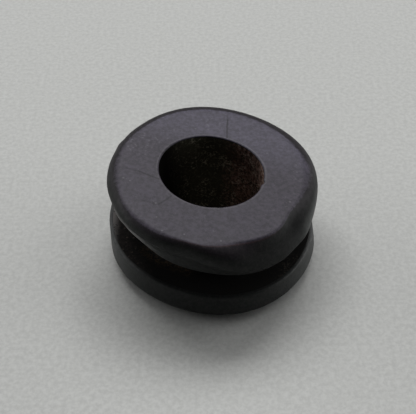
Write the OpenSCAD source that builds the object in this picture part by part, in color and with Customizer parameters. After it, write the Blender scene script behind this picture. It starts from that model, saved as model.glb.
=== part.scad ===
// Rubber grommet: two flanges with a panel groove between them and a plain hole through the middle.
// Units are millimetres. The hole's axis is Z and the lower flange stands on Z = 0.
// The piece has taken a set in use: its flanges have gone a little oval, the lower one is pressed flat
// underfoot and thicker on one side, and the upper one leans over it. Compass directions turn from +X to +Y.

/* [Overall] */
// Diameter of each flange, before it went oval
outside_d = 20; // [17:0.5:26]
// Diameter of the hole through the middle
bore_d = 9.5; // [6:0.5:11]
// Diameter of the neck at the bottom of the groove
neck_d = 14.4; // [13.5:0.1:15.5]
// Width of the panel groove at the hole's axis
groove_w = 2.6; // [2.2:0.1:4]
// Depth of the small bevel at each mouth of the hole
mouth_bevel = 0.15; // [0.08:0.01:0.4]
// Radius of the soft edge beside the groove
lip_r = 0.15; // [0.08:0.01:0.3]

/* [Lower flange] */
// Thickness of the lower flange at the hole's axis
lower_t = 3.3; // [2.4:0.1:4]
// Radius of the tight corner it stands on
foot_r = 0.35; // [0.2:0.05:0.6]
// How far that corner's centre lies inside the rim
foot_inset = 0.91; // [0.8:0.01:1.5]
// Height where its side is widest
widest_z = 1.3; // [0.8:0.05:2]
// How far its side draws in from there to the groove
lower_draw = 0.15; // [0.05:0.05:0.6]

/* [Upper flange] */
// Thickness of the upper flange
upper_t = 3; // [2.4:0.1:4]
// Width of its worn shoulder
shoulder_w = 1.5; // [0.8:0.05:2]
// Depth of its worn shoulder
shoulder_h = 1.8; // [0.8:0.05:2.2]
// How far its side draws in from the shoulder to the groove
upper_draw = 0.6; // [0.05:0.05:0.8]

/* [Set of the lower flange] */
// Growth of its radius all round
lower_growth = -0.07; // [-0.3:0.01:0.3]
// Two lobes round it: how far they stand out, and the direction of one
lower_two = [0.52, -62]; // [-180:0.01:180]
// Three lobes round it
lower_three = [0.18, -14]; // [-180:0.01:180]
// Four lobes round it
lower_four = [0.18, 16]; // [-180:0.01:180]
// How far its rim has moved along X and Y
lower_shift = [-0.18, -0.3]; // [-1:0.01:1]
// Rise of its groove side along X and Y, in mm per mm
lower_slope = [-0.05, 0.026]; // [-0.1:0.001:0.1]
// How far its tight corner stands out toward X and Y
foot_pull = [-0.22, 0.21]; // [-0.4:0.01:0.4]
// How far its lip stands out toward X and Y
lower_lip_pull = [-0.1, 0.22]; // [-0.4:0.01:0.4]

/* [Set of the upper flange] */
// Angle the upper flange leans from level
lean_deg = 6; // [0:0.5:8]
// Direction of its low side
lean_toward = 0; // [0:5:350]
// Growth of its radius all round
upper_growth = -0.06; // [-0.3:0.01:0.3]
// Two lobes round it: how far they stand out, and the direction of one
upper_two = [0.27, -77]; // [-180:0.01:180]
// Three lobes round it
upper_three = [0.31, 49]; // [-180:0.01:180]
// Four lobes round it
upper_four = [0.23, 17]; // [-180:0.01:180]
// How far its rim has moved along X and Y
upper_shift = [0.41, 0.12]; // [-1:0.01:1]
// Rise of its outer face along X and Y, in mm per mm, on top of the lean
face_slope = [-0.0015, 0.012]; // [-0.05:0.0005:0.05]
// How much deeper its shoulder gets along X and Y, in mm per mm
shoulder_slope = [0.03, -0.075]; // [-0.1:0.005:0.1]
// How much thicker its lip gets along X and Y, in mm per mm
lip_slope = [-0.015, -0.015]; // [-0.05:0.005:0.05]

/* [Pulled and worn stretches of the upper rim] */
// Direction where the rim has been pulled out
pulled_toward = -127; // [-180:1:180]
// Half width of the pulled stretch, in degrees
pulled_half = 34; // [10:1:60]
// How far the rim stands out there
pulled_out = 0.4; // [0:0.01:0.8]
// Width of the shoulder that is gone there
pulled_shoulder = 1.25; // [0:0.01:1.3]
// Depth of the shoulder that is gone there
pulled_depth = 0.7; // [0:0.05:1]
// Direction where the lip has been pulled out
lip_toward = -118; // [-180:1:180]
// Half width of that stretch of the lip, in degrees
lip_half = 26; // [10:1:60]
// How far the lip stands out there
lip_out = 0.65; // [0:0.01:0.8]
// Direction where the shoulder is worn to a straight slope
worn_toward = -35; // [-180:1:180]
// Half width of the worn stretch, in degrees
worn_half = 34; // [10:1:60]
// Share of the rounding that is gone there
worn_share = 0.55; // [0:0.05:0.9]

/* [Hidden] */
$fn = 96;
// points round each ring of a flange
around = 72;
// rings down a worn shoulder and up a swelling side
shoulder_steps = 6;
swell_steps = 4;
// angle of the tight corner's upper end, where the swelling side takes over
foot_end = 40;
outside_r = outside_d / 2;
bore_r = bore_d / 2;
neck_r = neck_d / 2;
// total height along the axis
tall = lower_t + groove_w + upper_t;
// height of the level that the upper flange leans about: its own middle
lean_z = tall - upper_t / 2;
// offset of the leaned face's centre from the hole
face_slip = (tall - lean_z) * tan(lean_deg);
// centre of the tight corner, the corner's upper end and the bend of the side above it
foot_x = outside_r - foot_inset;
foot_end_x = foot_x + foot_r * cos(foot_end);
foot_end_z = foot_r * (1 - sin(foot_end));
swell_power = (widest_z - foot_end_z) * tan(foot_end) / (outside_r - foot_end_x);
directions = [for (i = [0:around - 1]) i * 360 / around];

// Signed angle from direction c to direction a.
function away(a, c) = (a - c + 540) % 360 - 180;

// 1 near direction c, flat on top, fading to 0 past this half width.
function near(a, c, half) = exp(-pow(abs(away(a, c)) / half, 4));

// How far a set of lobes stands out in direction a.
function lobe(a, count, set) = set[0] * cos(count * (a - set[1]));
function lower_out(a) =
    lower_growth + lobe(a, 2, lower_two) + lobe(a, 3, lower_three) + lobe(a, 4, lower_four);
function upper_out(a) =
    upper_growth + lobe(a, 2, upper_two) + lobe(a, 3, upper_three) + lobe(a, 4, upper_four);

// 0 at the hole and 1 at the rim, because the set grows outward.
function share(r) = (r - bore_r) / (outside_r - bore_r);

// Where the set takes a point drawn at radius r in direction a, and this much further out.
function moved(a, r, out, shift, proud = 0) =
    let (reach = r + out * share(r) + proud)
        [reach * cos(a) + shift[0] * share(r), reach * sin(a) + shift[1] * share(r)];

// Rings of the lower flange. Its side is widest at widest_z, and its groove side slopes.
function lower_ring(r, z, pull, sloped = 0) =
    [for (a = directions)
        let (p = moved(a, r, lower_out(a), lower_shift, pull * [cos(a), sin(a)]))
            [p[0], p[1], z + sloped * (p * lower_slope)]];

// Radius of the swelling side, this share of the way up from the tight corner to its widest.
function swell(s) = outside_r - (outside_r - foot_end_x) * pow(1 - s, swell_power);

function lower_rings() = concat(
    [for (turn = [90, (90 + foot_end) / 2])
        lower_ring(foot_x + foot_r * cos(turn), foot_r * (1 - sin(turn)), foot_pull)],
    [for (i = [0:swell_steps])
        let (s = i / swell_steps)
            lower_ring(swell(s), foot_end_z + (widest_z - foot_end_z) * s, foot_pull * (1 - s))],
    [
        lower_ring(outside_r - lower_draw, lower_t - lip_r, lower_lip_pull, 1),
        lower_ring(outside_r - lower_draw - lip_r, lower_t, lower_lip_pull, 1)
    ]);

// How far the shoulder's curve has gone outward and down after this share of it. Part of it is worn straight.
function across(s, straight) = (1 - straight) * sin(90 * s) + straight * s;
function down(s, straight) = (1 - straight) * (1 - cos(90 * s)) + straight * s;

function pulled(a) = near(a, pulled_toward, pulled_half);
function worn(a) = worn_share * near(a, worn_toward, worn_half);
function width(a) = shoulder_w - pulled_shoulder * pulled(a);
function depth(a) =
    shoulder_h + shoulder_slope * [cos(a), sin(a)] * outside_r - pulled_depth * pulled(a);

// A point of the upper flange this far below its outer face.
function upper_point(p, d) = [p[0], p[1], tall - d + p * face_slope];

// Rings of the upper flange's shoulder, from 0 at its outer face to 1 at its widest.
function shoulder_ring(s) =
    [for (a = directions)
        let (
            out = across(s, worn(a)),
            r = outside_r - width(a) * (1 - out),
            p = moved(a, r, upper_out(a), upper_shift, pulled_out * pulled(a) * out)
        )
            upper_point(p, depth(a) * down(s, worn(a)))];

// Rings of its lip.
function lip_ring(r, d) =
    [for (a = directions)
        let (p = moved(a, r, upper_out(a), upper_shift, lip_out * near(a, lip_toward, lip_half)))
            upper_point(p, d + p * lip_slope)];

function upper_rings() = concat(
    [
        lip_ring(outside_r - upper_draw - lip_r, upper_t),
        lip_ring(outside_r - upper_draw, upper_t - lip_r)
    ],
    [for (i = [shoulder_steps:-1:0]) shoulder_ring(i / shoulder_steps)]);

// A closed solid through rings listed from bottom to top, each with its points turning from +X to +Y.
module skin(rings) {
    n = len(rings[0]);
    // first point of each ring that has another above it
    starts = [for (k = [0:len(rings) - 2]) k * n];
    top = n * (len(rings) - 1);
    polyhedron(
        points = [for (ring = rings) each ring],
        faces = concat(
            [[for (i = [0:n - 1]) i]],
            [for (k = starts, i = [0:n - 1]) [k + i, k + n + i, k + n + (i + 1) % n]],
            [for (k = starts, i = [0:n - 1]) [k + i, k + n + (i + 1) % n, k + (i + 1) % n]],
            [[for (i = [n - 1:-1:0]) top + i]]
        )
    );
}

// Leans what it holds about the middle of the upper flange.
module leaned() {
    translate([0, 0, lean_z])
        rotate([0, 0, lean_toward])
            rotate([0, lean_deg, 0])
                rotate([0, 0, -lean_toward])
                    translate([0, 0, -lean_z])
                        children();
}

module lower_flange() {
    skin(lower_rings());
}

module upper_flange() {
    leaned()
        skin(upper_rings());
}

// The neck runs from the middle of one flange to the middle of the other.
module neck() {
    translate([0, 0, lower_t / 2])
        cylinder(r = neck_r, h = lower_t / 2 + groove_w + upper_t / 2);
}

// Cone that bevels the mouth of the hole in an outer face on Z = 0.
module mouth_cut() {
    translate([0, 0, -mouth_bevel])
        cylinder(r1 = bore_r + mouth_bevel * 2, r2 = bore_r - mouth_bevel * 2, h = mouth_bevel * 4);
}

// The same bevel on the leaned face, centred where the hole comes through it.
module upper_mouth_cut() {
    leaned()
        rotate([0, 0, lean_toward])
            translate([-face_slip, 0, tall])
                rotate([0, -atan(face_slope[0]), 0])
                    rotate([atan(face_slope[1]), 0, 0])
                        mirror([0, 0, 1])
                            mouth_cut();
}

module grommet() {
    color([0.07, 0.07, 0.075])
        difference() {
            union() {
                lower_flange();
                neck();
                upper_flange();
            }
            translate([0, 0, -tall])
                cylinder(r = bore_r, h = tall * 3);
            mouth_cut();
            upper_mouth_cut();
        }
}

grommet();
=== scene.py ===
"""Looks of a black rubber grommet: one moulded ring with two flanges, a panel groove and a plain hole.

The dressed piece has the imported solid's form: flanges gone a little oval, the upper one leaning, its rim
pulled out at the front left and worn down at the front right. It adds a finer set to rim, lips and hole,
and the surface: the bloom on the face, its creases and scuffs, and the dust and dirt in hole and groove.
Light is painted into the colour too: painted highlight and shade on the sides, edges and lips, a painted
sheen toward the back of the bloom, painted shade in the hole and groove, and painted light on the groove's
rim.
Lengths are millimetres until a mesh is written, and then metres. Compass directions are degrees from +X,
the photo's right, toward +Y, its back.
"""

import math

import bpy
import numpy as np
from mathutils import Matrix, Vector


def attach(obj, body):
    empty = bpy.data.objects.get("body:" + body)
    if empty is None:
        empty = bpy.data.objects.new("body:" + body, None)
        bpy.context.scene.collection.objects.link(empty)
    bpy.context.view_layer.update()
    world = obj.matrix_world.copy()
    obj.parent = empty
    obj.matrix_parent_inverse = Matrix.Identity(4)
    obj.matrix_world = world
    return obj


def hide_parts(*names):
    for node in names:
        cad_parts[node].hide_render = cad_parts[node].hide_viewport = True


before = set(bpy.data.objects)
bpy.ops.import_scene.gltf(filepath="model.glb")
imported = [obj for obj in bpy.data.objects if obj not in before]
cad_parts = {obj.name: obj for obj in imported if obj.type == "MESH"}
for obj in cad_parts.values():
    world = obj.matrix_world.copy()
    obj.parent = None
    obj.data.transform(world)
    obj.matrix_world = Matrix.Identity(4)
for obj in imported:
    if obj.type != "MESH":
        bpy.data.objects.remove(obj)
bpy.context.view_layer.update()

MM = 0.001
X, Y, Z = 0, 1, 2

# ---------------------------------------------------------------- sizes of the section
FLANGE_R = 10.0
LOWER_T = 3.3
UPPER_T = 3.0
GROOVE_W = 2.6
NECK_R = 7.2
BORE_R = 4.75
SHOULDER_R = 1.2
SIDE_DRAW = 0.35
LIP_R = 0.15
MOUTH_R = 0.15
FLOOR_FILLET = 0.3
TALL = LOWER_T + GROOVE_W + UPPER_T
# the upper flange leans toward +X, about its own middle
LEAN = math.radians(6.0)
LEAN_Z = TALL - UPPER_T / 2
# the shoulder it stands on is pressed flatter than the other: its corner, and where the side is widest
FOOT_X = 8.98
FOOT_R = 0.35
FOOT_SLOPE = math.radians(40)
WIDEST_Z = 1.31
# where the soft edge of each lip begins, in degrees from outward
LOWER_LIP_START = 11
UPPER_LIP_START = 60

# ---------------------------------------------------------------- how finely the mesh is cut
AROUND = 512
MOUTH_RINGS = 6
LIP_RINGS = 6
UNDERSIDE_RINGS = 16
CORNER_RINGS = 8
SWELL_RINGS = 12
DRAWN_SIDE_RINGS = 8
FACE_RINGS = 20
SHOULDER_RINGS = 26
UPPER_SIDE_RINGS = 12
GROOVE_SIDE_RINGS = 10
FILLET_RINGS = 5
NECK_RINGS = 8
HOLE_RINGS = 16
# rings over which the painted highlight fades in: at the widest edge, and on the side next to the lip
HIGHLIGHT_EDGE_RINGS = 5
HIGHLIGHT_FADE_RINGS = 3
# rings of the side, next to the lip, that carry the lip's painted highlight in their colour, and that carry
# its painted shine
HIGHLIGHT_SIDE_RINGS = 4
PAINTED_SHINE_SIDE_RINGS = 3

# ---------------------------------------------------------------- the set it has taken
# radial change of each flange: mean, then two, three and four lobes (cos, sin of each)
LOWER_OVAL = (-0.0069, -0.0293, -0.0432, 0.0135, -0.0117, 0.0081, 0.0157)
UPPER_OVAL = (-0.0059, -0.0246, -0.0116, -0.0263, 0.0173, 0.0084, 0.0211)
# how far each rim and the upper mouth have moved, on X and Y
LOWER_SHIFT = (-0.1806, -0.3027)
UPPER_SHIFT = (0.4143, 0.1248)
MOUTH_SHIFT = (-0.04, 0.04)
# how much the upper flange rises for each millimetre along X and Y, before it leans
FACE_TWIST = (-0.0015, 0.012)
# a mean and how much more toward +X and +Y: the foot's corner and each lip, further out than drawn, and
# how much thicker each flange is at its lip
FOOT_OUT = (0.0585, -0.2199, 0.2057)
LOWER_LIP = (0.1715, -0.098, 0.2189)
LOWER_RISE = (0.0394, -0.4781, 0.2467)
UPPER_LIP = (-0.336, 0.1765, 0.0286)
UPPER_DROP = (-0.0392, -0.1505, -0.1522)
# how much of the pull on the rim the flat face takes
FACE_SHARE = 0.35
# the wall of the hole bulges a little inward below its middle, and has sagged in at the back of its foot
BORE_BULGE = 0.22
FOOT_SAG = 0.35

# ---------------------------------------------------------------- marks, on X and Y
CREASES = (((1.63, 7.5), (1.5, 4.8)), ((-6.6, -0.7), (-4.75, -1.55)), ((-3.6, -3.65), (-4.65, -4.8)))
FAINT_LINES = (
    ((1.66, 8.3), (1.63, 7.5)), ((-7.75, -0.4), (-6.6, -0.7)), ((-6.15, -4.4), (-4.65, -4.8)),
)
CREASE_W, FAINT_LINE_W = 0.13, 0.16
# rubbed arcs: centre and radius
SCUFFS = (((-6.5, 3.3), 0.7), ((-6.4, 3.2), 1.1), ((-6.3, 3.1), 1.5), ((0.2, 6.9), 0.65))
SCUFF_W = 0.11
SPECKS = (
    (-3.5, 5.4), (-1.5, 5.8), (-0.3, 5.85), (-4.8, -6.35), (-2.45, -8.2), (-4.3, -7.9), (0.6, -8.7),
    (6.8, -3.5), (7.8, 0.55), (7.8, 1.5), (5.2, 2.9), (-7.3, -2.0), (-7.9, -1.7), (-4.9, -4.65),
)
SPECK_R = 0.13
# the middle of the reddish fringe on the front edge of the bloom
FRINGE_AT = (1.5, -9.5, 0)
# dirt caked at the foot of the neck
CAKED = (((-6.3, -4.5), (-4.6, -6.1)), ((-4.6, -6.1), (-2.4, -7.2)))
CAKED_W = 0.75

# ---------------------------------------------------------------- colours, the darker and the lighter of each
LOW_BLACK = ((0.0052, 0.0064, 0.0060), (0.0112, 0.0124, 0.0118))
VIOLET_BLACK = ((0.0070, 0.0052, 0.0072), (0.0142, 0.0112, 0.0146))
FRONT_BLOOM = ((0.0245, 0.0212, 0.0290), (0.0500, 0.0430, 0.0595))
# the back bloom is lighter as a painted sheen of the window's light
BACK_BLOOM_AND_PAINTED_SHEEN = ((0.048, 0.0440, 0.0610), (0.083, 0.0750, 0.105))
# soot, darker than the outside rubber as painted shade in hole and groove
SOOT_AND_PAINTED_SHADE = ((0.0018, 0.0017, 0.0014), (0.0045, 0.0040, 0.0034))
GROOVE_DUST = ((0.028, 0.021, 0.019), (0.13, 0.098, 0.082))
CAKED_DIRT = ((0.014, 0.013, 0.007), (0.052, 0.032, 0.018))
OLIVE = ((0.050, 0.048, 0.034), (0.24, 0.228, 0.176))
BROWN = ((0.050, 0.030, 0.022), (0.265, 0.162, 0.135))
FLOOR_GREY = ((0.467, 0.472, 0.459), (0.552, 0.558, 0.543))
# a pale grey, painted as highlight on the lips, the widest edge and the mouth
PAINTED_HIGHLIGHT_GREY = (0.30, 0.29, 0.285)
CREASE_BLACK = (0.007, 0.005, 0.009)
SCUFF_GREY = (0.14, 0.133, 0.148)
FRINGE_RED = (0.045, 0.022, 0.025)
# dust on the groove's far-left rim, made paler as painted light
RIM_DUST_AND_PAINTED_LIGHT = (0.13, 0.122, 0.118)
GROOVE_LINT = (0.032, 0.027, 0.022)
HOLE_LINT = (0.52, 0.43, 0.36)

# ---------------------------------------------------------------- the camera and the room
PHOTO_W, PHOTO_H = 416, 414
FOCAL_PX = 850.0
STAND_OFF = 83.35
ELEVATION = math.radians(43.9)
ROLL = math.radians(-0.95)
ORIGIN_PX = (212.87, 238.66)
# half the floor's width, in metres
FLOOR_HALF = 1.5
WORLD_COLOUR = (0.9, 0.95, 1, 1)
WORLD_STRENGTH = 0.01

angle = np.linspace(0, 2 * math.pi, AROUND, endpoint=False)
cos_a, sin_a = np.cos(angle), np.sin(angle)


# ================================================================ values round the ring
def oval(terms):
    """Radial scale round the flange."""
    scale = np.full(AROUND, 1 + terms[0])
    for lobes, cos_term, sin_term in ((2, *terms[1:3]), (3, *terms[3:5]), (4, *terms[5:7])):
        scale += cos_term * np.cos(lobes * angle) + sin_term * np.sin(lobes * angle)
    return scale


def toward(terms):
    """A mean, and how much more toward +X and +Y."""
    return terms[0] + terms[1] * cos_a + terms[2] * sin_a


def local(centre, width, power=2):
    """1 at a compass direction in degrees, fading to 0 over this width; a higher power has a flatter top."""
    away = (np.degrees(angle) - centre + 180) % 360 - 180
    return np.exp(-((np.abs(away) / width) ** power))


LOWER_SCALE = oval(LOWER_OVAL)
UPPER_SCALE = oval(UPPER_OVAL)
# the free shoulder, across and down: broad, except where the rim has been pulled out or worn
SHOULDER_W = toward((1.7, 0.16, 0)) - 0.33 * local(-52, 30) - 1.15 * local(-125, 36, 4)
SHOULDER_W += 0.27 * local(-38, 10)
SHOULDER_H = toward((1.8, 0.3, -0.75)) - 1.0 * local(-100, 35) - 0.6 * local(-135, 25) + 0.2 * local(-52, 26)
# 0 where the shoulder is round, towards 1 where it is worn to a straight slope
SLOPED = 0.9 * local(-52, 30, 4)
# how far the widest edge is pulled out at the front left, and worn in at the front right
PULLED_OUT = 0.484 * local(-130, 26) + 0.42 * local(-133, 21, 4) - 0.42 * local(-57, 20, 4)
# a corner pressed out of the rim, and the straight run beside it
PRESSED = 0.092 * local(159, 3.5) + 0.0547 * local(148, 7)
# the side under the pulled rim is hollow
HOLLOW = 0.22 * local(-140, 34, 4) + 0.12 * local(-92, 26)
# each lip, further out than drawn, and how much thicker its flange is there
LOWER_PROUD = toward(LOWER_LIP)
LOWER_THICK = toward(LOWER_RISE) - 0.26 * local(-150, 24)
UPPER_PROUD = toward(UPPER_LIP) + 0.7149 * local(-118, 22) + 0.28 * local(-146, 14) + 0.2 * local(-158, 13)
UPPER_THICK = toward(UPPER_DROP)
# the mouth of the hole, further out than drawn, with a nick at its right
MOUTH_OUT = 0.03 + 0.05 * local(15, 20) + 0.08 * local(145, 40) - 0.07 * local(68, 20) - 0.05 * local(-60, 40)
MOUTH_OUT += 0.1 * local(-14, 3) - 0.06 * local(-20, 3)
SAGGED_IN = FOOT_SAG * local(90, 55, 4)
# the tilt of the shoulder at which the bloom ends, in degrees, and over how much it fades
BLOOM_TILT = 10 + 44 * local(-130, 27) + 15 * local(-175, 30) + 18 * local(2, 20) - 7 * local(-36, 14)
BLOOM_SOFT = 1.5 + 0.08 * BLOOM_TILT + 7 * local(-178, 26) + 7 * local(4, 18)
# painted highlights, in pale grey: on the lip at the left, on the widest edge where it hides that lip, round
# the mouth
PAINTED_LIP_HIGHLIGHT = 0.42 * local(-144, 15)
PAINTED_EDGE_HIGHLIGHT = 0.5 * local(-147, 9, 4)
PAINTED_MOUTH_HIGHLIGHT = 0.12
# gloss and painted light, scaling both the specular level and the bare black's colour: painted shade and
# highlight on the upper shoulder, the painted highlight that its widest edge adds, on the side under it, and
# on the lower flange
SHOULDER_PAINTED_LIGHT = 1 - 0.3 * local(-54, 26, 4) - 0.42 * local(-168, 24, 4) - 0.35 * local(-18, 24, 4)
SHOULDER_PAINTED_LIGHT -= 0.2 * local(-44, 13, 4)
EDGE_PAINTED_HIGHLIGHT = 3.4 * local(-17, 14, 4) + 0.9 * local(-37, 10)
SIDE_PAINTED_LIGHT = 1 - 0.3 * local(-168, 24, 4) + 2.0 * local(-18, 16) + 0.2 * local(-42, 10)
LOWER_PAINTED_LIGHT = 1 + 1.35 * local(-18, 28) + 0.8 * local(-158, 20)


# ================================================================ mesh
def steps(count):
    """Shares between 0 and 1, without the ends."""
    return np.linspace(0, 1, count + 2)[1:-1]


def plain(count, value=0.0):
    """The same value all round, for this many rings."""
    return [np.full(AROUND, value)] * count


def outward(radius):
    """0 at the hole's wall, 1 at the flange's rim."""
    return np.clip((radius - BORE_R) / (FLANGE_R - BORE_R), 0, 1)


def lower_ring(radius, height, proud=0.0):
    """A ring of the lower flange, this far out and up."""
    share = outward(radius)
    r = radius * (1 + (LOWER_SCALE - 1) * share) + proud
    x = r * cos_a + share * LOWER_SHIFT[X]
    y = r * sin_a + share * LOWER_SHIFT[Y]
    return np.stack([x, y, np.full(AROUND, height)], 1)


def upper_ring(radius, depth, proud=0.0):
    """A ring of the upper flange, this far below its outer face, leaned with the flange."""
    share = outward(radius)
    r = radius * (1 + (UPPER_SCALE - 1) * share) + proud
    slip = -(TALL - depth - LEAN_Z) * math.tan(LEAN)
    x = r * cos_a + share * UPPER_SHIFT[X] + (1 - share) * (slip + MOUTH_SHIFT[X])
    y = r * sin_a + share * UPPER_SHIFT[Y] + (1 - share) * MOUTH_SHIFT[Y]
    z = TALL - depth + FACE_TWIST[X] * x + FACE_TWIST[Y] * y - LEAN_Z
    leaned_x = x * math.cos(LEAN) + z * math.sin(LEAN)
    leaned_z = -x * math.sin(LEAN) + z * math.cos(LEAN) + LEAN_Z
    return np.stack([leaned_x, y, leaned_z], 1)


def arc(centre, radius, start, stop, count):
    """Points on an arc of the section, start and stop in degrees."""
    turn = np.radians(np.linspace(start, stop, count))
    return [(centre[0] + radius * math.cos(t), centre[1] + radius * math.sin(t)) for t in turn]


def line(start, stop, count):
    """Points between two points of the section, without the ends."""
    return [(start[0] + (stop[0] - start[0]) * s, start[1] + (stop[1] - start[1]) * s) for s in steps(count)]


def lip_arc(thickness, start):
    """The soft edge beside the groove of a flange this thick, from this many degrees round from outward."""
    slope = math.atan(SIDE_DRAW / (UPPER_T - SHOULDER_R))
    lip_y = UPPER_T - LIP_R
    across = SHOULDER_R - LIP_R - (lip_y - SHOULDER_R) * math.sin(slope)
    lip_x = FLANGE_R - SHOULDER_R + across / math.cos(slope)
    return arc((lip_x, lip_y + thickness - UPPER_T), LIP_R, start, 90, LIP_RINGS)


def mouth_arc():
    """The soft edge of the hole, from its wall to the flange's outer face."""
    return arc((BORE_R + MOUTH_R, MOUTH_R), MOUTH_R, 180, 270, MOUTH_RINGS)


def groove_side(lip, thickness):
    """From the lip in to the groove's floor."""
    floor = arc((NECK_R + FLOOR_FILLET, thickness + FLOOR_FILLET), FLOOR_FILLET, 270, 180, FILLET_RINGS)
    return line(lip[-1], floor[0], GROOVE_SIDE_RINGS) + floor


def lower_rings():
    """The flange it stands on: its shoulder is pressed to a tight corner under a side that swells."""
    mouth, lip = mouth_arc(), lip_arc(LOWER_T, LOWER_LIP_START)
    corner = arc((FOOT_X, FOOT_R), FOOT_R, -90, -math.degrees(FOOT_SLOPE), CORNER_RINGS)
    foot_x, foot_y = corner[-1]
    rise = WIDEST_Z - foot_y
    curve = rise * math.tan(FOOT_SLOPE) / (FLANGE_R - foot_x)
    foot = toward(FOOT_OUT)
    rings = [lower_ring(r, z, -SAGGED_IN) for r, z in mouth]
    rings += [lower_ring(r, z) for r, z in line(mouth[-1], corner[0], UNDERSIDE_RINGS)]
    rings += [lower_ring(r, z, foot) for r, z in corner]
    for s in np.linspace(0, 1, SWELL_RINGS + 1)[1:]:
        r = FLANGE_R - (FLANGE_R - foot_x) * (1 - s) ** curve
        rings.append(lower_ring(r, foot_y + rise * s, foot * (1 - s)))
    for s in steps(DRAWN_SIDE_RINGS):
        r = FLANGE_R + (lip[0][0] - FLANGE_R) * s
        z = WIDEST_Z + (lip[0][1] + LOWER_THICK - WIDEST_Z) * s
        rings.append(lower_ring(r, z, LOWER_PROUD * s))
    rings += [lower_ring(r, z + LOWER_THICK, LOWER_PROUD) for r, z in lip]
    groove = []
    for r, z in groove_side(lip, LOWER_T):
        share = (r - NECK_R) / (lip[-1][0] - NECK_R)
        groove.append(lower_ring(r, z + LOWER_THICK * r / lip[-1][0], LOWER_PROUD * share))
    return rings, groove


def upper_rings():
    """The free flange from its mouth to its lip, the bloom on each ring, and on to the groove's floor."""
    mouth, lip = mouth_arc(), lip_arc(UPPER_T, UPPER_LIP_START)
    edge = FLANGE_R - SHOULDER_W
    out = PULLED_OUT + PRESSED
    flat_out = FACE_SHARE * np.maximum(PULLED_OUT, 0)
    rings, bloom = [], []
    for r, d in mouth:
        rings.append(upper_ring(r, d, MOUTH_OUT))
        bloom += plain(1, float(d < MOUTH_R / 2))
    for s in steps(FACE_RINGS):
        proud = MOUTH_OUT * (1 - s) ** 3 + flat_out * s**3
        rings.append(upper_ring(mouth[-1][0] + (edge - mouth[-1][0]) * s, 0, proud))
    bloom += plain(FACE_RINGS, 1.0)
    for s in np.linspace(0, 1, SHOULDER_RINGS):
        turn = s * math.pi / 2
        across = math.sin(turn) + SLOPED * (s - math.sin(turn))
        down = 1 - math.cos(turn) + SLOPED * (s - 1 + math.cos(turn))
        proud = flat_out + (out - flat_out) * across
        rings.append(upper_ring(edge + SHOULDER_W * across, SHOULDER_H * down, proud))
        tilt = np.degrees(np.arctan2(SHOULDER_H * math.sin(turn), SHOULDER_W * math.cos(turn)))
        bloom.append(1 / (1 + np.exp((tilt - BLOOM_TILT) / BLOOM_SOFT)))
    for s in steps(UPPER_SIDE_RINGS):
        r = FLANGE_R + (lip[0][0] - FLANGE_R) * s
        depth = SHOULDER_H + (lip[0][1] + UPPER_THICK - SHOULDER_H) * s
        dip = HOLLOW * math.sin(math.pi * s)
        rings.append(upper_ring(r, depth, out * (1 - s) + UPPER_PROUD * s - dip))
    rings += [upper_ring(r, d + UPPER_THICK, UPPER_PROUD) for r, d in lip]
    bloom += plain(UPPER_SIDE_RINGS + LIP_RINGS)
    groove = []
    for r, d in groove_side(lip, UPPER_T):
        share = (r - NECK_R) / (lip[-1][0] - NECK_R)
        groove.append(upper_ring(r, d + UPPER_THICK * share, UPPER_PROUD * share))
    return rings, bloom, groove


def upper_gloss_and_painted_light():
    """The gloss and painted light of each ring of the free flange, from its mouth to its lip: painted
    highlight and shade.
    """
    gloss_and_painted_light = plain(MOUTH_RINGS + FACE_RINGS, 1.0)
    for s in np.linspace(0, 1, SHOULDER_RINGS):
        gloss_and_painted_light.append(1 + (SHOULDER_PAINTED_LIGHT - 1) * min(1, 3 * s) + EDGE_PAINTED_HIGHLIGHT * max(0, 2 * s - 1) ** 1.2)
    gloss_and_painted_light += [SIDE_PAINTED_LIGHT] * (UPPER_SIDE_RINGS - PAINTED_SHINE_SIDE_RINGS)
    return gloss_and_painted_light + [SIDE_PAINTED_LIGHT + 3 * PAINTED_LIP_HIGHLIGHT] * (PAINTED_SHINE_SIDE_RINGS + LIP_RINGS)


def upper_painted_highlight():
    """How strong the painted highlight is on each ring of the free flange, from its mouth to its lip."""
    painted_highlight = plain(MOUTH_RINGS - 1) + plain(1, PAINTED_MOUTH_HIGHLIGHT)
    painted_highlight += plain(FACE_RINGS + SHOULDER_RINGS - HIGHLIGHT_EDGE_RINGS)
    painted_highlight += [PAINTED_EDGE_HIGHLIGHT * (i + 1) / HIGHLIGHT_EDGE_RINGS for i in range(HIGHLIGHT_EDGE_RINGS)]
    painted_highlight += plain(UPPER_SIDE_RINGS - HIGHLIGHT_SIDE_RINGS)
    fade = [min(1, (i + 1) / HIGHLIGHT_FADE_RINGS) for i in range(HIGHLIGHT_SIDE_RINGS + LIP_RINGS)]
    return painted_highlight + [PAINTED_LIP_HIGHLIGHT * share for share in fade]


def between(start, stop, count):
    """Rings between two rings, without the ends."""
    return [start + (stop - start) * s for s in steps(count)]


def hole_rings(start, stop):
    """Rings down the hole, whose wall bulges a little inward below its middle."""
    rings = between(start, stop, HOLE_RINGS)
    for ring, s in zip(rings, steps(HOLE_RINGS)):
        inward = BORE_BULGE * math.sin(math.pi * s**1.5) ** 2
        ring[:, :2] *= 1 - inward / BORE_R
    return rings


def ring_mesh(name, rings, material_of_each):
    """A mesh through rings, the last one joined to the first, with one material from each to the next."""
    start = np.arange(AROUND)
    after = (start + 1) % AROUND
    faces = []
    for i in range(len(rings)):
        here, there = i * AROUND, (i + 1) % len(rings) * AROUND
        faces.append(np.stack([here + start, here + after, there + after, there + start], 1))
    mesh = bpy.data.meshes.new(name)
    mesh.from_pydata((np.concatenate(rings) * MM).tolist(), [], np.concatenate(faces).tolist())
    mesh.update()
    mesh.shade_smooth()
    materials = np.repeat(np.array(material_of_each, dtype=np.int32), AROUND)
    mesh.polygons.foreach_set("material_index", materials)
    return mesh


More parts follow.
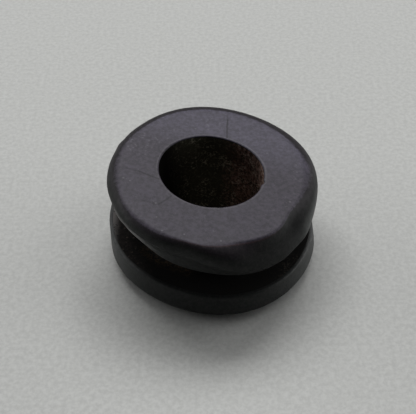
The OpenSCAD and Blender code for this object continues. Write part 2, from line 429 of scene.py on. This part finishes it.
def make_body():
    """The whole grommet: up its outside, through the groove, over the top and down the hole."""
    low, low_groove = lower_rings()
    high, bloom, high_groove = upper_rings()
    groove = low_groove + between(low_groove[-1], high_groove[-1], NECK_RINGS) + high_groove[::-1]
    hole = hole_rings(high[0], low[0])
    rings = low + groove + high[::-1] + hole
    # 1 is the dull material; the hole's begins with the last ring of its upper mouth
    dull = [0] * len(low) + [1] * len(groove) + [0] * (len(high) - 1) + [1] * (len(hole) + 1)
    below = len(low) + len(groove)
    # beside the bloom, the mesh carries the painted highlight and shade, which also scales gloss, and the
    # pale painted highlight
    gloss_and_painted_light = [LOWER_PAINTED_LIGHT] * len(low) + plain(len(groove), 1.0) + upper_gloss_and_painted_light()[::-1]
    layers = {
        "bloom": plain(below) + bloom[::-1] + plain(len(hole)),
        "gloss_and_painted_light": gloss_and_painted_light + plain(len(hole), 1.0),
        "painted_highlight": plain(below) + upper_painted_highlight()[::-1] + plain(len(hole)),
    }
    mesh = ring_mesh("grommet_body", rings, dull)
    for name, values in layers.items():
        layer = mesh.attributes.new(name, "FLOAT", "POINT")
        layer.data.foreach_set("value", np.concatenate(values).astype(np.float32))
    body = bpy.data.objects.new("grommet_body", mesh)
    bpy.context.scene.collection.objects.link(body)
    return body


# ================================================================ materials
class Graph:
    """Short forms for the nodes of one material. Positions are millimetres on the object."""

    def __init__(self, name):
        self.material = bpy.data.materials.new(name)
        self.material.use_nodes = True
        self.nodes = self.material.node_tree.nodes
        self.links = self.material.node_tree.links
        self.shader = self.nodes["Principled BSDF"]
        where = self.nodes.new("ShaderNodeTexCoord")
        self.facing = where.outputs["Normal"]
        self.place = self.vector("SCALE", where.outputs["Object"], scale=1 / MM)
        self.level = self.vector("MULTIPLY", self.place, (1, 1, 0))

    def put(self, socket, value):
        """Links a socket, or sets its number or colour."""
        if isinstance(value, bpy.types.NodeSocket):
            self.links.new(value, socket)
        elif isinstance(value, tuple) and len(value) == 3 and socket.type == "RGBA":
            socket.default_value = (*value, 1)
        else:
            socket.default_value = value

    def wire(self, **sockets):
        """Links the shader's sockets, Base_Color for Base Color and so on, and returns the material."""
        for name, value in sockets.items():
            self.links.new(value, self.shader.inputs[name.replace("_", " ")])
        return self.material

    def math(self, operation, first, second=0.0, clamp=False):
        node = self.nodes.new("ShaderNodeMath")
        node.operation = operation
        node.use_clamp = clamp
        self.put(node.inputs[0], first)
        self.put(node.inputs[1], second)
        return node.outputs[0]

    def times(self, *factors):
        """The product of masks and numbers."""
        product = factors[0]
        for factor in factors[1:]:
            product = self.math("MULTIPLY", product, factor)
        return product

    def plus(self, first, second):
        return self.math("ADD", first, second)

    def minus(self, first, second):
        return self.math("SUBTRACT", first, second)

    def swing(self, value, strength):
        """A mask or noise, made to swing this much round zero."""
        return self.times(self.minus(value, 0.5), strength)

    def vector(self, operation, first, second=(0, 0, 0), scale=1.0):
        node = self.nodes.new("ShaderNodeVectorMath")
        node.operation = operation
        self.put(node.inputs[0], first)
        if operation == "SCALE":
            self.put(node.inputs["Scale"], scale)
        else:
            self.put(node.inputs[1], second)
        return node.outputs["Value" if operation in ("DOT_PRODUCT", "LENGTH", "DISTANCE") else "Vector"]

    def part(self, vector, axis):
        """One component of a vector: X, Y or Z."""
        node = self.nodes.new("ShaderNodeSeparateXYZ")
        self.links.new(vector, node.inputs[0])
        return node.outputs[axis]

    def ease(self, value, low, high):
        """0 at low and 1 at high, smooth between; low may be the larger of the two."""
        node = self.nodes.new("ShaderNodeMapRange")
        node.interpolation_type = "SMOOTHSTEP"
        self.put(node.inputs["Value"], value)
        if low < high:
            node.inputs["From Min"].default_value, node.inputs["From Max"].default_value = low, high
        else:
            node.inputs["From Min"].default_value, node.inputs["From Max"].default_value = high, low
            node.inputs["To Min"].default_value, node.inputs["To Max"].default_value = 1, 0
        return node.outputs["Result"]

    def attribute(self, name):
        """A value that the mesh carries for each of its points."""
        node = self.nodes.new("ShaderNodeAttribute")
        node.attribute_name = name
        return node.outputs["Fac"]

    def noise(self, scale, detail=2.0, rough=0.5, output="Fac"):
        """Soft noise round 0.5, with this many features for each millimetre."""
        node = self.nodes.new("ShaderNodeTexNoise")
        self.links.new(self.place, node.inputs["Vector"])
        node.inputs["Scale"].default_value = scale
        node.inputs["Detail"].default_value = detail
        node.inputs["Roughness"].default_value = rough
        return node.outputs[output]

    def wander(self, vector, scale, reach):
        """A vector, moved a little this way and that."""
        off = self.vector("SUBTRACT", self.noise(scale, output="Color"), (0.5, 0.5, 0.5))
        return self.vector("ADD", vector, self.vector("SCALE", off, scale=reach))

    def grains(self, scale, size, share):
        """Small round grains, in this share of the cells of a grid this fine."""
        node = self.nodes.new("ShaderNodeTexVoronoi")
        self.links.new(self.place, node.inputs["Vector"])
        node.inputs["Scale"].default_value = scale
        round_spot = self.ease(node.outputs["Distance"], size, size * 0.4)
        chosen = self.ease(self.part(node.outputs["Color"], X), 1 - share, 1 - share + 0.02)
        return self.times(round_spot, chosen)

    def within(self, distance, width):
        """1 at no distance, fading to 0 at this width."""
        return self.ease(distance, width, width * 0.3)

    def squiggles(self, scale, width):
        """Thin winding lines."""
        off = self.minus(self.noise(scale, 1), 0.5)
        return self.within(self.math("ABSOLUTE", off), width)

    def near_line(self, place, start, stop, width):
        """1 on the line between two points on X and Y, fading to 0 over this width."""
        run = (stop[X] - start[X], stop[Y] - start[Y], 0)
        reach = self.vector("SUBTRACT", place, (*start, 0))
        along = self.vector("DOT_PRODUCT", reach, run)
        along = self.math("DIVIDE", along, run[X] ** 2 + run[Y] ** 2, clamp=True)
        nearest = self.vector("SCALE", run, scale=along)
        return self.within(self.vector("DISTANCE", reach, nearest), width)

    def near_circle(self, place, centre, radius, width):
        """1 on a circle on X and Y, fading to 0 over this width."""
        off = self.minus(self.vector("DISTANCE", place, (*centre, 0)), radius)
        return self.within(self.math("ABSOLUTE", off), width)

    def near_point(self, place, point, width):
        """1 at a point on X and Y, fading to 0 over this width."""
        return self.within(self.vector("DISTANCE", place, (*point, 0)), width)

    def most(self, masks):
        """The largest of several masks."""
        largest = masks[0]
        for mask in masks[1:]:
            largest = self.math("MAXIMUM", largest, mask)
        return largest

    def blend(self, amount, base, top):
        """The base colour where amount is 0, the top one where it is 1."""
        node = self.nodes.new("ShaderNodeMix")
        node.data_type = "RGBA"
        self.put(node.inputs["Factor"], amount)
        self.put(node.inputs["A"], base)
        self.put(node.inputs["B"], top)
        return node.outputs["Result"]

    def bump(self, height, distance, under=None):
        """Raises the surface by height times distance, in millimetres."""
        node = self.nodes.new("ShaderNodeBump")
        node.inputs["Distance"].default_value = distance * MM
        self.put(node.inputs["Height"], height)
        if under:
            self.links.new(under, node.inputs["Normal"])
        return node.outputs["Normal"]


def bare_black(g, grain, gloss_and_painted_light):
    """The rubber under the bloom, a little violet where the upper flange faces up, scaled by painted
    highlight and shade.
    """
    fleck = g.ease(grain, 0.32, 0.68)
    violet = g.times(g.ease(g.part(g.place, Z), 4.0, 4.8), g.ease(g.part(g.facing, Z), 0.42, 0.72))
    black = g.blend(violet, g.blend(fleck, *LOW_BLACK), g.blend(fleck, *VIOLET_BLACK))
    return g.vector("SCALE", black, scale=gloss_and_painted_light)


def bloom_grey(g, patches):
    """The bloom's violet grey, lighter toward the back as a painted sheen of the window's light, and a little
    toward the left.
    """
    painted_sheen_backward = g.ease(g.vector("DOT_PRODUCT", g.level, (0.3, 1, 0)), 0.8, 6.5)
    grey = g.blend(painted_sheen_backward, g.blend(patches, *FRONT_BLOOM), g.blend(patches, *BACK_BLOOM_AND_PAINTED_SHEEN))
    leftward = g.ease(g.part(g.place, X), -3.0, -8.0)
    return g.vector("SCALE", grey, scale=g.plus(1, g.times(leftward, 0.12)))


def dark_marks(g, wavy):
    """Creases in the face, and fainter lines."""
    creases = g.most([g.near_line(wavy, *ends, CREASE_W) for ends in CREASES])
    faint = g.most([g.near_line(wavy, *ends, FAINT_LINE_W) for ends in FAINT_LINES])
    return g.most([creases, g.times(faint, 0.45)])


def pale_marks(g, wavy, mottle, cloud):
    """Broken rubbed arcs, fine scratches and specks of dust on the face."""
    scuffs = g.most([g.near_circle(wavy, *ring, SCUFF_W) for ring in SCUFFS])
    scuffs = g.times(scuffs, g.ease(mottle, 0.49, 0.6), 0.75)
    scratches = g.times(g.squiggles(1.7, 0.012), g.ease(cloud, 0.5, 0.62), 0.6)
    specks = [g.near_point(wavy, point, SPECK_R) for point in SPECKS] + [g.grains(2.4, 0.15, 0.09)]
    return g.most([*specks, scuffs, scratches])


def rubber_outside():
    """Satin moulded rubber, with a violet-grey bloom on what faces up, and painted highlight and shade on the
    rest.
    """
    g = Graph("rubber_satin")
    grain = g.noise(7, 3, 0.6)
    cloud = g.noise(0.9, 3, 0.55)
    mottle = g.noise(2.6, 4, 0.7)
    patches = g.ease(mottle, 0.34, 0.66)
    wavy = g.wander(g.level, 1.2, 0.2)
    # painted highlight and shade, which also scales the specular level
    gloss_and_painted_light = g.attribute("gloss_and_painted_light")
    # the bloom's edge is broken up by grain and mottle, and its thickness varies in clouds
    rubbed = g.plus(g.plus(g.attribute("bloom"), g.swing(grain, 0.5)), g.swing(mottle, 0.5))
    bloom = g.times(g.ease(rubbed, 0.25, 0.75), g.plus(0.72, g.times(cloud, 0.5)))
    bare = g.minus(1, bloom)
    colour = g.blend(bloom, bare_black(g, grain, gloss_and_painted_light), bloom_grey(g, patches))
    # painted highlight in pale grey, on the lips, the widest edge and the mouth
    colour = g.blend(g.times(g.attribute("painted_highlight"), g.ease(mottle, 0.25, 0.5)), colour, PAINTED_HIGHLIGHT_GREY)
    dark = g.times(dark_marks(g, wavy), bloom)
    colour = g.blend(g.times(dark, 0.75), colour, CREASE_BLACK)
    colour = g.blend(g.times(pale_marks(g, wavy, mottle, cloud), bloom, 0.5), colour, SCUFF_GREY)
    fringe = g.times(g.ease(rubbed, 0.0, 0.35), g.ease(rubbed, 0.9, 0.5))
    fringe = g.times(fringe, g.ease(g.vector("DISTANCE", g.level, FRINGE_AT), 6.0, 3.0))
    colour = g.blend(g.times(fringe, 0.5), colour, FRINGE_RED)
    # away from the bloom, the specular level follows the gloss and painted light attribute, and is a little
    # uneven
    shine = g.plus(1, g.times(g.minus(gloss_and_painted_light, 1), bare))
    uneven = g.plus(0.22, g.times(g.minus(patches, 0.5), bare, 0.09))
    pitted = g.bump(g.minus(grain, dark), 0.006)
    return g.wire(
        Base_Color=colour,
        Roughness=g.plus(0.46, g.times(cloud, 0.12)),
        Specular_IOR_Level=g.times(shine, uneven),
        Normal=g.bump(g.noise(2.2, 2), 0.012, pitted),
    )


def groove_colour(g, soot_and_painted_shade, grain, crumbs, grit, fibres):
    """Soot darkened as painted shade, with dust at the left, dust on its rim lightened as painted light, dirt
    caked at the neck's foot, and lint at the right.
    """
    across, along = g.part(g.place, X), g.part(g.place, Y)
    dust = g.times(g.ease(crumbs, 0.4, 0.62), g.ease(across, -4.5, -8.5), 0.5)
    colour = g.blend(dust, soot_and_painted_shade, g.blend(grit, *GROOVE_DUST))
    # dust on the lower flange's rim at the far left, made paler as painted light
    rim_dust_and_painted_light = g.times(g.ease(across, -8.6, -9.4), g.ease(crumbs, 0.3, 0.5))
    colour = g.blend(rim_dust_and_painted_light, colour, RIM_DUST_AND_PAINTED_LIGHT)
    caked = g.most([g.near_line(g.level, *ends, CAKED_W) for ends in CAKED])
    caked = g.times(caked, g.ease(crumbs, 0.4, 0.6))
    colour = g.blend(caked, colour, g.blend(g.ease(grain, 0.4, 0.6), *CAKED_DIRT))
    front_right = g.times(g.ease(across, 4.5, 7.0), g.ease(along, -4.6, -5.6))
    return g.blend(g.times(fibres, front_right), colour, GROOVE_LINT)


def hole_colour(g, soot_and_painted_shade, crumbs, fibres):
    """Soot darkened as painted shade at the left, then olive, then brown at the right, with patches of lint.
    """
    across, along = g.part(g.place, X), g.part(g.place, Y)
    patchy = g.plus(0.2, g.times(g.ease(g.noise(0.8, 2), 0.42, 0.6), 0.75))
    lint = g.times(fibres, patchy)
    olive = g.blend(lint, *OLIVE)
    brown = g.blend(lint, g.blend(g.ease(crumbs, 0.42, 0.6), *BROWN), HOLE_LINT)
    # darker under the back of the mouth
    shaded = g.times(g.ease(along, 0.5, 2.4), g.ease(g.part(g.place, Z), 5.8, 6.9))
    brown = g.vector("SCALE", brown, scale=g.minus(1, g.times(shaded, 0.5)))
    smeared = g.ease(g.plus(across, g.swing(crumbs, 4)), 0.6, 3.2)
    # the dark left of the hole is painted shade
    return g.blend(smeared, g.blend(g.ease(across, -4.4, -1.0), soot_and_painted_shade, olive), brown)


def rubber_inside():
    """Dull black of the hole and the groove, darkened as painted shade, with brown and olive dust."""
    g = Graph("rubber_dull")
    grain = g.noise(6, 3, 0.6)
    crumbs = g.noise(3.2, 4, 0.75)
    grit = g.grains(3.4, 0.5, 0.3)
    fibres = g.most([g.squiggles(2.2, 0.03), grit])
    soot_and_painted_shade = g.blend(grain, *SOOT_AND_PAINTED_SHADE)
    hole = g.ease(g.vector("LENGTH", g.level), 6.2, 5.4)
    groove = groove_colour(g, soot_and_painted_shade, grain, crumbs, grit, fibres)
    return g.wire(
        Base_Color=g.blend(hole, groove, hole_colour(g, soot_and_painted_shade, crumbs, fibres)),
        Roughness=g.plus(0.8, g.times(grain, 0.2)),
        Specular_IOR_Level=g.minus(0.2, g.times(hole, 0.19)),
        Normal=g.bump(grain, 0.03),
    )


def floor_paint():
    """Pale grey-green, with a slight mottle."""
    g = Graph("floor_paint")
    g.shader.inputs["Roughness"].default_value = 0.8
    g.shader.inputs["Specular IOR Level"].default_value = 0.2
    return g.wire(Base_Color=g.blend(g.ease(g.noise(2.2, 3, 0.7), 0.3, 0.7), *FLOOR_GREY))


# ================================================================ floor, lights, camera
def make_floor():
    """The plain pale floor that the grommet stands on."""
    half = FLOOR_HALF
    corners = [(-half, -half, 0), (half, -half, 0), (half, half, 0), (-half, half, 0)]
    mesh = bpy.data.meshes.new("floor")
    mesh.from_pydata(corners, [], [(0, 1, 2, 3)])
    mesh.materials.append(floor_paint())
    floor = bpy.data.objects.new("floor", mesh)
    bpy.context.scene.collection.objects.link(floor)


def softbox(name, turned, rise, size, power):
    """A lamp a metre away, turned right from the back and raised by these degrees, aimed at the origin."""
    turn, lift = math.radians(turned), math.radians(rise)
    light = bpy.data.lights.new(name, "AREA")
    light.shape = "RECTANGLE"
    light.size, light.size_y = size
    light.energy = power
    lamp = bpy.data.objects.new(name, light)
    lamp.location = (math.sin(turn) * math.cos(lift), math.cos(turn) * math.cos(lift), math.sin(lift))
    lamp.rotation_mode = "QUATERNION"
    lamp.rotation_quaternion = (-lamp.location).to_track_quat("-Z", "Y")
    bpy.context.scene.collection.objects.link(lamp)


def make_lights():
    """A broad window behind, two low walls of light, two weak fills and a faint world."""
    softbox("back_window", turned=-6, rise=52, size=(1.0, 0.36), power=8.8)
    softbox("right_fill", turned=68, rise=50, size=(0.5, 0.5), power=1.2)
    softbox("left_wall", turned=-70, rise=14, size=(1.0, 0.5), power=4.0)
    softbox("right_wall", turned=75, rise=14, size=(1.0, 0.5), power=4.0)
    softbox("top_fill", turned=180, rise=76, size=(0.5, 0.5), power=0.5)
    world = bpy.data.worlds.new("world")
    world.use_nodes = True
    background = world.node_tree.nodes["Background"]
    background.inputs["Color"].default_value = WORLD_COLOUR
    background.inputs["Strength"].default_value = WORLD_STRENGTH
    bpy.context.scene.world = world


def make_camera():
    """The photo's viewpoint: in front, looking down at the origin, which lands on ORIGIN_PX."""
    data = bpy.data.cameras.new("camera")
    data.sensor_width = 36
    data.lens = data.sensor_width * FOCAL_PX / PHOTO_W
    data.clip_start, data.clip_end = 0.001, 20
    ahead = Vector((0, math.cos(ELEVATION), -math.sin(ELEVATION)))
    level = Vector((1, 0, 0))
    above = Vector((0, math.sin(ELEVATION), math.cos(ELEVATION)))
    right = math.cos(ROLL) * level + math.sin(ROLL) * above
    up = -math.sin(ROLL) * level + math.cos(ROLL) * above
    across = (ORIGIN_PX[0] - PHOTO_W / 2) / FOCAL_PX * STAND_OFF
    down = (ORIGIN_PX[1] - PHOTO_H / 2) / FOCAL_PX * STAND_OFF
    place = -(ahead * STAND_OFF + right * across - up * down) * MM
    camera = bpy.data.objects.new("camera", data)
    camera.matrix_world = Matrix.Translation(place) @ Matrix((right, up, -ahead)).transposed().to_4x4()
    bpy.context.scene.collection.objects.link(camera)
    bpy.context.scene.camera = camera


bpy.context.scene.view_settings.view_transform = "Standard"
body = make_body()
body.data.materials.append(rubber_outside())
body.data.materials.append(rubber_inside())
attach(body, "root")
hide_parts("grommet")
make_floor()
make_lights()
make_camera()
